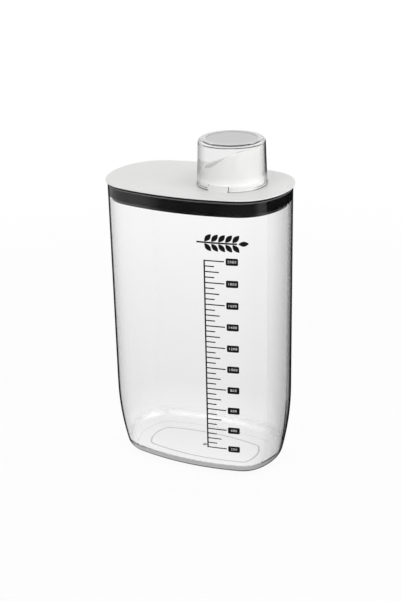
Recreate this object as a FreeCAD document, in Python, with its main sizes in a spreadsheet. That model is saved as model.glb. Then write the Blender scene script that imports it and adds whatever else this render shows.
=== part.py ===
"""Clear storage canister: jar, push-in lid with a pouring spout, seal ring and measuring cup.

The frame has +Z up and its origin at the middle of the jar's base. The long side of the plan
lies along X, the spout stands at the +X end and the printed front face looks to -Y.
"""
import FreeCAD, Part
import math
import os

import Sketcher
from FreeCAD import Vector

# Driving sizes: millimetres, degrees for drafts, and shares of another size
SIZES = {
    # Plan outline of the lid: tangent arcs, mirrored about X and Y, ends and corners bent to the width
    "lid_length": 153.6,
    "lid_width": 98.8,
    "side_radius": 205.0,
    "end_radius_share": 0.566802,
    "corner_radius_share": 0.348178,
    # Jar
    "jar_height": 234.8,
    "lid_overhang": 1.5,
    "jar_wall": 2.3,
    "jar_draft": 0.25,
    "rim_round": 0.7,
    "belly_height": 62.0,
    "belly_radius": 230.0,
    "base_round": 11.0,
    "inner_round": 8.0,
    "floor_level": 4.6,
    "floor_inset": 31.0,
    "floor_overlap": 1.0,
    "foot_width": 5.2,
    "foot_depth": 0.25,
    "foot_slant": 5.0,
    "gate_diameter": 3.2,
    "gate_height": 0.2,
    # Lid plate, thinner outside the plug, and plug wall
    "plate_thick": 2.5,
    "brim_thick": 0.8,
    "brim_round": 0.4,
    "brim_underround": 0.2,
    "plug_wall": 2.2,
    "plug_depth": 11.2,
    "plug_chamfer": 0.6,
    "groove_height": 3.2,
    "groove_depth": 1.1,
    "groove_top": 4.6,
    # Seal ring stretched round the plug, its flange between the brim and the jar's rim
    "seal_gap": 0.35,
    "seal_thick": 1.9,
    "seal_depth": 12.2,
    "seal_chamfer": 0.5,
    "flange_setback": 0.4,
    "seal_lip": 0.4,
    "seal_lip_width": 1.6,
    "seal_lip_first": 1.8,
    "seal_lip_pitch": 3.8,
    "tongue_gap": 0.2,
    # Collar, spout and index lug on the lid
    "spout_offset": 28.2,
    "collar_gap": 0.5,
    "collar_height": 4.4,
    "collar_chamfer": 0.6,
    "spout_radius": 23.4,
    "spout_wall": 1.8,
    "spout_draft": 1.0,
    "spout_foot_round": 0.8,
    "spout_low": 12.9,
    "spout_high": 31.8,
    "mouth_radius": 40.0,
    "mouth_round": 0.5,
    "throat_round": 1.5,
    "lug_width": 15.6,
    "lug_height": 4.2,
    "lug_proud": 0.5,
    "lug_round": 0.4,
    # Measuring cup, mouth down over the spout
    "cup_height": 36.3,
    "cup_radius": 27.4,
    "cup_wall": 1.5,
    "cup_draft": 2.0,
    "cup_bead": 0.45,
    "cup_bead_height": 2.2,
    "cup_rim_chamfer": 0.4,
    "cup_shoulder": 3.6,
    "cup_inner_round": 2.4,
    "cup_top_thick": 2.4,
    "disc_radius": 19.6,
    "disc_depth": 0.5,
    "notch_gap": 0.4,
    # One overrun for every cut that passes right through
    "overrun": 5.0,
}

# Bends and fits that several sections share, as expressions of the sheet
SIDE_RADIUS = "Sizes.side_radius"
END_RADIUS = "Sizes.lid_width * Sizes.end_radius_share"
CORNER_RADIUS = "Sizes.lid_width * Sizes.corner_radius_share"
PLUG_INSET = "Sizes.lid_overhang + Sizes.jar_wall + Sizes.seal_gap + Sizes.seal_lip + Sizes.seal_thick"
BRIM_LEVEL = "Sizes.plate_thick - Sizes.brim_thick"
PLUG_ROOT = "Sizes.plate_thick - Sizes.brim_thick / 2"
COLLAR_RADIUS = "Sizes.cup_radius - Sizes.cup_wall - Sizes.collar_gap"
LUG_RADIUS = "Sizes.cup_radius + Sizes.cup_bead + Sizes.lug_proud"
LIP_COUNT = 3

# Points of a sketch element in the order that constraints count them, and the sketch's own axes
POINTS = ("whole", "start", "end", "centre")
START, END, CENTRE = (POINTS.index(point) for point in ("start", "end", "centre"))
X_AXIS = -1
Y_AXIS = X_AXIS - 1
ORIGIN = (X_AXIS, START)

doc = FreeCAD.newDocument("storage_canister")
sheet = doc.addObject("Spreadsheet::Sheet", "Sizes")
for row, (alias, number) in enumerate(SIZES.items(), start=1):
    sheet.set(f"A{row}", alias)
    sheet.set(f"B{row}", str(number))
    sheet.setAlias(f"B{row}", alias)
doc.recompute()


def worth(expression):
    """Number that an expression of the sheet comes to, in radians where it is an angle."""
    result = sheet.evalExpression(expression)
    if isinstance(result, FreeCAD.Units.Quantity):
        return math.radians(result.Value)
    return float(result)


def size(alias):
    """Number held by one cell of the sheet."""
    return worth("Sizes." + alias)


def along(start, end, distance):
    """Point at a distance from start on the way to end."""
    run = math.dist(start, end)
    return tuple(a + (b - a) * distance / run for a, b in zip(start, end))


class Loop:
    """Closed loop of lines and arcs in a sketch, drawn end to end from (x, y) points."""

    def __init__(self, sketch):
        self.sketch = sketch
        self.pieces = []

    def line(self, start, end):
        """Add a line and return its number in the sketch."""
        number = self.sketch.addGeometry(Part.LineSegment(Vector(*start, 0), Vector(*end, 0)), False)
        self.pieces.append((number, START, END, False))
        return number

    def arc(self, centre, start, end, clockwise=False, smooth=True):
        """Add an arc about a centre, tangent to its neighbours where smooth."""
        first, last = (end, start) if clockwise else (start, end)
        first_angle = math.atan2(first[1] - centre[1], first[0] - centre[0])
        last_angle = math.atan2(last[1] - centre[1], last[0] - centre[0])
        if last_angle <= first_angle:
            last_angle += 2 * math.pi
        circle = Part.Circle(Vector(*centre, 0), Vector(0, 0, 1), math.dist(centre, start))
        number = self.sketch.addGeometry(Part.ArcOfCircle(circle, first_angle, last_angle), False)
        ends = (END, START) if clockwise else (START, END)
        self.pieces.append((number, *ends, smooth))
        return number

    def close(self, plain_last=False):
        """Join every piece to the next one and the last to the first."""
        for place, (number, _, leave, smooth) in enumerate(self.pieces):
            following, enter, _, next_smooth = self.pieces[(place + 1) % len(self.pieces)]
            is_last = place == len(self.pieces) - 1
            tangent = (smooth or next_smooth) and not (plain_last and is_last)
            self.fix("Tangent" if tangent else "Coincident", number, leave, following, enter)

    def fix(self, kind, *references):
        """Add a constraint that holds no number."""
        self.sketch.addConstraint(Sketcher.Constraint(kind, *references))

    def level(self, *lines):
        """Keep lines parallel to the sketch's first axis."""
        for number in lines:
            self.fix("Horizontal", number)

    def upright(self, *lines):
        """Keep lines parallel to the sketch's second axis."""
        for number in lines:
            self.fix("Vertical", number)

    def bind(self, name, expression, kind, *references):
        """Add a dimension whose value is an expression of the sheet."""
        place = self.sketch.addConstraint(Sketcher.Constraint(kind, *references, worth(expression)))
        self.sketch.renameConstraint(place, name)
        self.sketch.setExpression("Constraints." + name, expression)

    def reach(self, name, expression, number, end):
        """Hold a point at a distance from the sketch's second axis."""
        self.bind(name, expression, "DistanceX", *ORIGIN, number, end)

    def height(self, name, expression, number, end):
        """Hold a point at a height above the sketch's first axis."""
        self.bind(name, expression, "DistanceY", *ORIGIN, number, end)

    def depth(self, name, expression, number, end):
        """Hold a point at a depth below the sketch's first axis."""
        self.bind(name, expression, "DistanceY", number, end, *ORIGIN)

    def turn(self, name, degrees, number):
        """Hold a line at an angle from the sketch's first axis, in degrees."""
        self.bind(name, f"({degrees}) * 1 deg", "Angle", number)


def new_body(label):
    """Empty body whose label names its file."""
    body = doc.addObject("PartDesign::Body", label)
    body.Label = label
    return body


def new_sketch(body, name, plane="XY_Plane", **offsets):
    """Sketch on one of the body's own origin planes, moved along x, y or z by expressions."""
    sketch = body.newObject("Sketcher::SketchObject", name)
    support = next(feature for feature in body.Origin.OriginFeatures if feature.Role == plane)
    sketch.AttachmentSupport = [(support, "")]
    sketch.MapMode = "FlatFace"
    for axis, expression in offsets.items():
        sketch.setExpression(f".AttachmentOffset.Base.{axis}", expression)
    doc.recompute()
    return sketch


def pad_up(body, name, sketch, expression, downward=False):
    """Pad a closed sketch by an expression of the sheet."""
    pad = body.newObject("PartDesign::Pad", name)
    pad.Profile = sketch
    pad.setExpression("Length", expression)
    pad.Reversed = downward
    doc.recompute()
    return pad


def cut_across(body, name, sketch, expression):
    """Cut a closed sketch out of the body to both sides, over a whole width given by an expression."""
    before = body.Shape.Volume
    pocket = body.newObject("PartDesign::Pocket", name)
    pocket.Profile = sketch
    pocket.Midplane = True
    pocket.setExpression("Length", expression)
    doc.recompute()
    if body.Shape.Volume >= before:
        raise RuntimeError(name + " cuts nothing")
    return pocket


def cut_forward(body, name, sketch, expression):
    """Cut a closed sketch out of the body towards -Y, over a depth given by an expression."""
    before = body.Shape.Volume
    pocket = body.newObject("PartDesign::Pocket", name)
    pocket.Profile = sketch
    pocket.Reversed = True
    pocket.setExpression("Length", expression)
    doc.recompute()
    if body.Shape.Volume >= before:
        raise RuntimeError(name + " cuts nothing")
    return pocket


def sweep_round(body, name, profile, spine):
    """Sweep an upright section round a closed plan outline."""
    pipe = body.newObject("PartDesign::AdditivePipe", name)
    pipe.Profile = profile
    pipe.Spine = (spine, [])
    pipe.Mode = "Frenet"
    doc.recompute()
    return pipe


def spin(body, kind, name, sketch):
    """Turn a section about its sketch's upright axis, as a Revolution or a Groove."""
    before = body.Shape.Volume if kind == "Groove" else None
    feature = body.newObject("PartDesign::" + kind, name)
    feature.Profile = sketch
    feature.ReferenceAxis = (sketch, ["V_Axis"])
    doc.recompute()
    if before is not None and body.Shape.Volume >= before:
        raise RuntimeError(name + " cuts nothing")
    return feature


def round_edges(body, name, radius, wanted):
    """Round the edges of the body's tip that a test picks."""
    base = body.Tip
    picked = [f"Edge{place}" for place, edge in enumerate(base.Shape.Edges, start=1) if wanted(edge)]
    if not picked:
        raise RuntimeError(name + " finds no edge")
    fillet = body.newObject("PartDesign::Fillet", name)
    fillet.Base = (base, picked)
    fillet.setExpression("Radius", "Sizes." + radius)
    doc.recompute()
    return fillet


def lies_at(level):
    """Test that picks edges lying wholly at one height."""
    margin = size("overrun") / 1e6

    def test(edge):
        box = edge.BoundBox
        return abs(box.ZMin - level) < margin and abs(box.ZMax - level) < margin

    return test


def draw_outline(sketch, inset):
    """Draw the plan outline, pulled in from the lid's edge by an expression of the sheet.

    All arcs keep their centres, so every inset is a true offset of the lid's edge. The loop starts
    at the middle of the +X end, where the swept sections stand.
    """
    pulled = worth(inset)
    side = worth(SIDE_RADIUS)
    end = worth(END_RADIUS)
    corner = worth(CORNER_RADIUS)
    end_x = size("lid_length") / 2 - end
    side_y = side - size("lid_width") / 2
    # The corner's centre lies where circles about the end's and the side's centres cross
    span = math.hypot(end_x, side_y)
    run = ((end - corner) ** 2 - (side - corner) ** 2 + span ** 2) / (2 * span)
    rise = math.sqrt((end - corner) ** 2 - run ** 2)
    corner_x = end_x - (run * end_x - rise * side_y) / span
    corner_y = (-run * side_y - rise * end_x) / span
    corner_y = abs(corner_y)
    end_join = along((end_x, 0), (corner_x, corner_y), end - pulled)
    side_join = along((0, -side_y), (corner_x, corner_y), side - pulled)
    tip = (end_x + end - pulled, 0)
    quadrants = ((1, 1), (-1, 1), (-1, -1), (1, -1))
    ends, sides, corners = ([(x * sign_x, y * sign_y) for sign_x, sign_y in quadrants]
                            for x, y in (end_join, side_join, (corner_x, corner_y)))
    stops = (tip, ends[0], sides[0], sides[1], ends[1], ends[2], sides[2], sides[3], ends[3], tip)
    centres = ((end_x, 0), corners[0], (0, -side_y), corners[1], (-end_x, 0),
               corners[2], (0, side_y), corners[3], (end_x, 0))
    bends = (END_RADIUS, CORNER_RADIUS, SIDE_RADIUS, CORNER_RADIUS) * 2
    loop = Loop(sketch)
    arcs = [loop.arc(centre, *stops[place:place + 2]) for place, centre in enumerate(centres)]
    loop.close(plain_last=True)
    right_end, _, back_side, _, left_end, _, front_side, _, last_end = arcs
    loop.fix("Coincident", last_end, CENTRE, right_end, CENTRE)
    loop.fix("PointOnObject", right_end, START, X_AXIS)
    for arc in (right_end, left_end):
        loop.fix("PointOnObject", arc, CENTRE, X_AXIS)
    for arc in (back_side, front_side):
        loop.fix("PointOnObject", arc, CENTRE, Y_AXIS)
    end_shift = "Sizes.lid_length / 2 - " + END_RADIUS
    side_shift = SIDE_RADIUS + " - Sizes.lid_width / 2"
    loop.bind("right_centre", end_shift, "DistanceX", *ORIGIN, right_end, CENTRE)
    loop.bind("left_centre", end_shift, "DistanceX", left_end, CENTRE, *ORIGIN)
    loop.bind("back_centre", side_shift, "DistanceY", back_side, CENTRE, *ORIGIN)
    loop.bind("front_centre", side_shift, "DistanceY", *ORIGIN, front_side, CENTRE)
    for place, (arc, bend) in enumerate(zip(arcs[:-1], bends)):
        loop.bind(f"bend_{place}", f"{bend} - ({inset})", "Radius", arc)
    doc.recompute()


def draw_jar_section(sketch):
    """Upright section of the jar's wall at the +X end, from the rim to the edge of the floor."""
    outer_x = size("lid_length") / 2 - size("lid_overhang")
    top = size("jar_height")
    wall = size("jar_wall")
    rim = size("rim_round")
    lean = math.radians(size("jar_draft"))
    belly = size("belly_height")
    bend = size("belly_radius")
    under = size("base_round")
    inner_under = size("inner_round")
    floor = size("floor_level")
    foot = size("foot_depth")
    core_x = size("lid_length") / 2 - size("floor_inset")
    # The wall leans in towards the base, then two tangent arcs turn it under
    wall_high = (outer_x, top - rim)
    wall_low = (outer_x - (top - belly) * math.tan(lean), belly)
    centre = (wall_low[0] - bend * math.cos(lean), belly + bend * math.sin(lean))
    under_x = centre[0] + math.sqrt((bend - under) ** 2 - (centre[1] - under) ** 2)
    bend_end = along(centre, (under_x, under), bend)
    foot_outer = (under_x, 0)
    foot_inner = (under_x - size("foot_width"), 0)
    foot_top = (foot_inner[0] - size("foot_slant"), foot)
    # The inner face keeps the wall's thickness down to a round of its own
    inner_bend = bend - wall
    inner_z = floor + inner_under
    inner_x = centre[0] + math.sqrt((inner_bend - inner_under) ** 2 - (centre[1] - inner_z) ** 2)
    inner_end = along(centre, (inner_x, inner_z), inner_bend)
    inner_low = along(centre, wall_low, inner_bend)
    inner_high = (outer_x - wall, top - rim)
    rim_inner = (outer_x - wall + rim, top)
    rim_outer = (outer_x - rim, top)

    loop = Loop(sketch)
    wall_line = loop.line(wall_high, wall_low)
    belly_arc = loop.arc(centre, wall_low, bend_end, clockwise=True)
    under_arc = loop.arc((under_x, under), bend_end, foot_outer, clockwise=True)
    foot_line = loop.line(foot_outer, foot_inner)
    slant_line = loop.line(foot_inner, foot_top)
    recess_line = loop.line(foot_top, (core_x, foot))
    core_line = loop.line((core_x, foot), (core_x, floor))
    floor_line = loop.line((core_x, floor), (inner_x, floor))
    round_arc = loop.arc((inner_x, inner_z), (inner_x, floor), inner_end)
    inner_arc = loop.arc(centre, inner_end, inner_low)
    inner_line = loop.line(inner_low, inner_high)
    rim_in_arc = loop.arc((rim_inner[0], inner_high[1]), inner_high, rim_inner, clockwise=True)
    rim_line = loop.line(rim_inner, rim_outer)
    rim_out_arc = loop.arc((rim_outer[0], wall_high[1]), rim_outer, wall_high, clockwise=True)
    loop.close()
    loop.level(foot_line, recess_line, floor_line, rim_line)
    loop.upright(core_line)
    loop.fix("PointOnObject", foot_line, END, X_AXIS)
    loop.fix("Parallel", inner_line, wall_line)
    loop.fix("Coincident", inner_arc, CENTRE, belly_arc, CENTRE)
    loop.reach("rim_reach", "Sizes.lid_length / 2 - Sizes.lid_overhang", wall_line, START)
    loop.height("rim_level", "Sizes.jar_height", rim_line, START)
    lean_run = "(Sizes.jar_height - Sizes.rim_round - Sizes.belly_height) * tan(Sizes.jar_draft * 1 deg)"
    loop.bind("lean", lean_run, "DistanceX", wall_line, END, wall_line, START)
    loop.height("belly_level", "Sizes.belly_height", wall_line, END)
    loop.bind("belly_bend", "Sizes.belly_radius", "Radius", belly_arc)
    loop.bind("base_bend", "Sizes.base_round", "Radius", under_arc)
    loop.bind("foot_run", "Sizes.foot_width", "DistanceX", foot_line, END, foot_line, START)
    loop.bind("slant_run", "Sizes.foot_slant", "DistanceX", slant_line, END, slant_line, START)
    loop.height("recess_level", "Sizes.foot_depth", recess_line, START)
    loop.reach("core_reach", "Sizes.lid_length / 2 - Sizes.floor_inset", core_line, START)
    loop.height("floor_level", "Sizes.floor_level", floor_line, START)
    loop.bind("floor_bend", "Sizes.inner_round", "Radius", round_arc)
    loop.bind("inner_bend", "Sizes.belly_radius - Sizes.jar_wall", "Radius", inner_arc)
    loop.bind("rim_in_bend", "Sizes.rim_round", "Radius", rim_in_arc)
    loop.bind("rim_out_bend", "Sizes.rim_round", "Radius", rim_out_arc)
    doc.recompute()


def build_jar():
    """Clear jar: one leaning wall swept round the outline, with a floor and a standing ring."""
    body = new_body("jar")
    spine = new_sketch(body, "jar_outline")
    draw_outline(spine, "Sizes.lid_overhang")
    section = new_sketch(body, "jar_section", "XZ_Plane")
    draw_jar_section(section)
    sweep_round(body, "jar_sweep", section, spine)
    floor = new_sketch(body, "floor_outline", z="Sizes.foot_depth")
    draw_outline(floor, "Sizes.floor_inset - Sizes.floor_overlap")
    pad_up(body, "floor_pad", floor, "Sizes.floor_level - Sizes.foot_depth")
    # The moulding gate leaves a small nub in the hollow under the floor
    gate = new_sketch(body, "gate_outline", z="Sizes.foot_depth")
    loop = Loop(gate)
    circle = gate.addGeometry(Part.Circle(Vector(), Vector(0, 0, 1), size("gate_diameter") / 2), False)
    loop.fix("Coincident", circle, CENTRE, *ORIGIN)
    loop.bind("gate_size", "Sizes.gate_diameter", "Diameter", circle)
    pad_up(body, "gate_pad", gate, "Sizes.gate_height", downward=True)
    return body


def draw_plug_section(sketch):
    """Upright section of the lid's plug wall, with the groove that holds the seal ring."""
    outer = worth("Sizes.lid_length / 2 - (" + PLUG_INSET + ")")
    inner = outer - size("plug_wall")
    depth = size("plug_depth")
    bevel = size("plug_chamfer")
    root = worth(PLUG_ROOT)
    groove = outer - size("groove_depth")
    groove_top = size("groove_top")
    groove_low = groove_top + size("groove_height")
    loop = Loop(sketch)
    upper_line = loop.line((outer, root), (outer, -groove_top))
    roof_line = loop.line((outer, -groove_top), (groove, -groove_top))
    groove_line = loop.line((groove, -groove_top), (groove, -groove_low))
    sill_line = loop.line((groove, -groove_low), (outer, -groove_low))
    lower_line = loop.line((outer, -groove_low), (outer, bevel - depth))
    outer_bevel = loop.line((outer, bevel - depth), (outer - bevel, -depth))
    end_line = loop.line((outer - bevel, -depth), (inner + bevel, -depth))
    inner_bevel = loop.line((inner + bevel, -depth), (inner, bevel - depth))
    inner_line = loop.line((inner, bevel - depth), (inner, root))
    root_line = loop.line((inner, root), (outer, root))
    loop.close()
    loop.upright(upper_line, groove_line, lower_line, inner_line)
    loop.level(roof_line, sill_line, end_line, root_line)
    loop.reach("face", "Sizes.lid_length / 2 - (" + PLUG_INSET + ")", upper_line, START)
    loop.height("root", PLUG_ROOT, upper_line, START)
    loop.depth("groove_top", "Sizes.groove_top", roof_line, START)
    loop.bind("groove_in", "Sizes.groove_depth", "DistanceX", roof_line, END, roof_line, START)
    loop.bind("groove_out", "Sizes.groove_depth", "DistanceX", sill_line, START, sill_line, END)
    loop.bind("groove_height", "Sizes.groove_height", "DistanceY", groove_line, END, groove_line, START)
    loop.depth("end", "Sizes.plug_depth", end_line, START)
    loop.bind("wall", "Sizes.plug_wall", "DistanceX", root_line, START, root_line, END)
    loop.bind("outer_bevel_run", "Sizes.plug_chamfer", "DistanceX", outer_bevel, END, outer_bevel, START)
    loop.bind("outer_bevel_rise", "Sizes.plug_chamfer", "DistanceY", outer_bevel, END, outer_bevel, START)
    loop.bind("inner_bevel_run", "Sizes.plug_chamfer", "DistanceX", inner_bevel, END, inner_bevel, START)
    loop.bind("inner_bevel_rise", "Sizes.plug_chamfer", "DistanceY", inner_bevel, START, inner_bevel, END)
    doc.recompute()


def draw_spout_section(sketch):
    """Half section of the collar and the uncut spout about the spout's axis."""
    base = size("plate_thick")
    root = base / 2
    collar = worth(COLLAR_RADIUS)
    ledge = base + size("collar_height")
    bevel = size("collar_chamfer")
    spout = size("spout_radius")
    foot = size("spout_foot_round")
    top = base + size("spout_high") + size("overrun")
    lean = (top - ledge) * math.tan(math.radians(size("spout_draft")))
    loop = Loop(sketch)
    root_line = loop.line((0, root), (collar, root))
    collar_line = loop.line((collar, root), (collar, ledge - bevel))
    bevel_line = loop.line((collar, ledge - bevel), (collar - bevel, ledge))
    ledge_line = loop.line((collar - bevel, ledge), (spout + foot, ledge))
    foot_arc = loop.arc((spout + foot, ledge + foot), (spout + foot, ledge), (spout, ledge + foot),
                        clockwise=True)
    spout_line = loop.line((spout, ledge + foot), (spout - lean, top))
    top_line = loop.line((spout - lean, top), (0, top))
    axis_line = loop.line((0, top), (0, root))
    loop.close()
    loop.level(root_line, ledge_line, top_line)
    loop.upright(collar_line)
    loop.fix("PointOnObject", axis_line, START, Y_AXIS)
    loop.fix("PointOnObject", axis_line, END, Y_AXIS)
    loop.height("root", "Sizes.plate_thick / 2", root_line, START)
    loop.reach("collar", COLLAR_RADIUS, collar_line, START)
    loop.bind("bevel_run", "Sizes.collar_chamfer", "DistanceX", bevel_line, END, bevel_line, START)
    loop.bind("bevel_rise", "Sizes.collar_chamfer", "DistanceY", bevel_line, START, bevel_line, END)
    loop.height("ledge", "Sizes.plate_thick + Sizes.collar_height", ledge_line, START)
    loop.bind("foot_bend", "Sizes.spout_foot_round", "Radius", foot_arc)
    loop.reach("spout", "Sizes.spout_radius", spout_line, START)
    loop.height("top", "Sizes.plate_thick + Sizes.spout_high + Sizes.overrun", top_line, START)
    loop.bind("lean", "(Sizes.spout_high + Sizes.overrun - Sizes.collar_height)"
              " * tan(Sizes.spout_draft * 1 deg)", "DistanceX", spout_line, END, spout_line, START)
    doc.recompute()


def draw_bore_section(sketch):
    """Half section of the pouring bore, which leans in parallel to the spout."""
    low = -size("overrun")
    high = size("plate_thick") + size("spout_high") + 2 * size("overrun")
    radius = size("spout_radius") - size("spout_wall")
    lean = (high - low) * math.tan(math.radians(size("spout_draft")))
    loop = Loop(sketch)
    low_line = loop.line((0, low), (radius, low))
    bore_line = loop.line((radius, low), (radius - lean, high))
    high_line = loop.line((radius - lean, high), (0, high))
    axis_line = loop.line((0, high), (0, low))
    loop.close()
    loop.level(low_line, high_line)
    loop.fix("PointOnObject", axis_line, START, Y_AXIS)
    loop.fix("PointOnObject", axis_line, END, Y_AXIS)
    loop.depth("low", "Sizes.overrun", low_line, START)
    loop.height("high", "Sizes.plate_thick + Sizes.spout_high + 2 * Sizes.overrun", high_line, START)
    loop.reach("bore", "Sizes.spout_radius - Sizes.spout_wall", bore_line, START)
    loop.bind("lean", "(Sizes.plate_thick + Sizes.spout_high + 3 * Sizes.overrun)"
              " * tan(Sizes.spout_draft * 1 deg)", "DistanceX", bore_line, END, bore_line, START)
    doc.recompute()


def draw_mouth_cut(sketch):
    """Side view of what is cut off the spout: above a swan-necked line, low at -X, high at +X."""
    base = size("plate_thick")
    low = base + size("spout_low")
    high = base + size("spout_high")
    bend = size("mouth_radius")
    middle = (low + high) / 2
    side = size("spout_radius") + size("overrun")
    top = high + 2 * size("overrun")
    run = bend * math.sin(math.acos(1 - (high - middle) / bend))
    loop = Loop(sketch)
    low_line = loop.line((-side, low), (-run, low))
    low_arc = loop.arc((-run, low + bend), (-run, low), (0, middle))
    high_arc = loop.arc((run, high - bend), (0, middle), (run, high), clockwise=True)
    high_line = loop.line((run, high), (side, high))
    right_line = loop.line((side, high), (side, top))
    top_line = loop.line((side, top), (-side, top))
    left_line = loop.line((-side, top), (-side, low))
    loop.close()
    loop.level(low_line, high_line, top_line)
    loop.upright(right_line, left_line)
    loop.fix("PointOnObject", low_arc, END, Y_AXIS)
    loop.height("low", "Sizes.plate_thick + Sizes.spout_low", low_line, START)
    loop.height("high", "Sizes.plate_thick + Sizes.spout_high", high_line, END)
    loop.height("top", "Sizes.plate_thick + Sizes.spout_high + 2 * Sizes.overrun", top_line, START)
    loop.bind("low_bend", "Sizes.mouth_radius", "Radius", low_arc)
    loop.bind("high_bend", "Sizes.mouth_radius", "Radius", high_arc)
    loop.reach("right", "Sizes.spout_radius + Sizes.overrun", right_line, START)
    loop.bind("left", "Sizes.spout_radius + Sizes.overrun", "DistanceX", left_line, START, *ORIGIN)
    doc.recompute()


def draw_lug(sketch):
    """Plan of the index lug: it runs from inside the collar out past the cup's bead, towards -Y."""
    half = size("lug_width") / 2
    reach = worth(LUG_RADIUS)
    root = worth(COLLAR_RADIUS) - size("spout_wall")
    shoulder = math.sqrt(reach ** 2 - half ** 2)
    loop = Loop(sketch)
    root_line = loop.line((-half, -root), (half, -root))
    right_line = loop.line((half, -root), (half, -shoulder))
    face_arc = loop.arc((0, 0), (half, -shoulder), (-half, -shoulder), clockwise=True, smooth=False)
    left_line = loop.line((-half, -shoulder), (-half, -root))
    loop.close()
    loop.level(root_line)
    loop.upright(right_line, left_line)
    loop.fix("Coincident", face_arc, CENTRE, *ORIGIN)
    loop.bind("face", LUG_RADIUS, "Radius", face_arc)
    loop.depth("root", COLLAR_RADIUS + " - Sizes.spout_wall", root_line, START)
    loop.bind("right", "Sizes.lug_width / 2", "DistanceX", *ORIGIN, right_line, START)
    loop.bind("left", "Sizes.lug_width / 2", "DistanceX", left_line, START, *ORIGIN)
    doc.recompute()


def is_mouth_edge(edge):
    """Picks the inner and outer edges of the spout's cut lip."""
    low = size("plate_thick") + size("spout_low")
    return edge.BoundBox.ZMin > low - size("mouth_round") and not isinstance(edge.Curve, Part.Line)


def is_throat_edge(edge):
    """Picks the lower edge of the pouring bore, on the lid's underside."""
    if not isinstance(edge.Curve, Part.Circle):
        return False
    shift = edge.Curve.Center - Vector(size("spout_offset"), 0, 0)
    return shift.Length < size("spout_wall")


def is_lug_edge(edge):
    """Picks the top edges of the index lug that stand outside the collar."""
    top = size("plate_thick") + size("lug_height")
    return lies_at(top)(edge) and edge.BoundBox.YMin < -worth(COLLAR_RADIUS)


def build_lid():
    """White lid: plate, grooved plug wall, collar, slanting spout and index lug in one moulding."""
    body = new_body("lid")
    body.setExpression(".Placement.Base.z", "Sizes.jar_height")
    brim = new_sketch(body, "brim_outline", z=BRIM_LEVEL)
    draw_outline(brim, "0")
    pad_up(body, "brim_pad", brim, "Sizes.brim_thick")
    round_edges(body, "brim_top_round", "brim_round", lies_at(size("plate_thick")))
    round_edges(body, "brim_under_round", "brim_underround", lies_at(worth(BRIM_LEVEL)))
    plate = new_sketch(body, "plate_outline")
    draw_outline(plate, PLUG_INSET + " + Sizes.plug_wall / 2")
    pad_up(body, "plate_pad", plate, PLUG_ROOT)
    spine = new_sketch(body, "plug_outline")
    draw_outline(spine, PLUG_INSET)
    plug = new_sketch(body, "plug_section", "XZ_Plane")
    draw_plug_section(plug)
    sweep_round(body, "plug_sweep", plug, spine)
    spout = new_sketch(body, "spout_section", "XZ_Plane", x="Sizes.spout_offset")
    draw_spout_section(spout)
    spin(body, "Revolution", "spout_turn", spout)
    lug = new_sketch(body, "lug_outline", x="Sizes.spout_offset", z="Sizes.plate_thick / 2")
    draw_lug(lug)
    pad_up(body, "lug_pad", lug, "Sizes.plate_thick / 2 + Sizes.lug_height")
    bore = new_sketch(body, "bore_section", "XZ_Plane", x="Sizes.spout_offset")
    draw_bore_section(bore)
    spin(body, "Groove", "bore_turn", bore)
    mouth = new_sketch(body, "mouth_outline", "XZ_Plane", x="Sizes.spout_offset")
    draw_mouth_cut(mouth)
    cut_across(body, "mouth_cut", mouth, "2 * (Sizes.spout_radius + Sizes.overrun)")
    round_edges(body, "mouth_lip_round", "mouth_round", is_mouth_edge)
    round_edges(body, "throat_edge_round", "throat_round", is_throat_edge)
    round_edges(body, "lug_edge_round", "lug_round", is_lug_edge)
    return body


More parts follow.
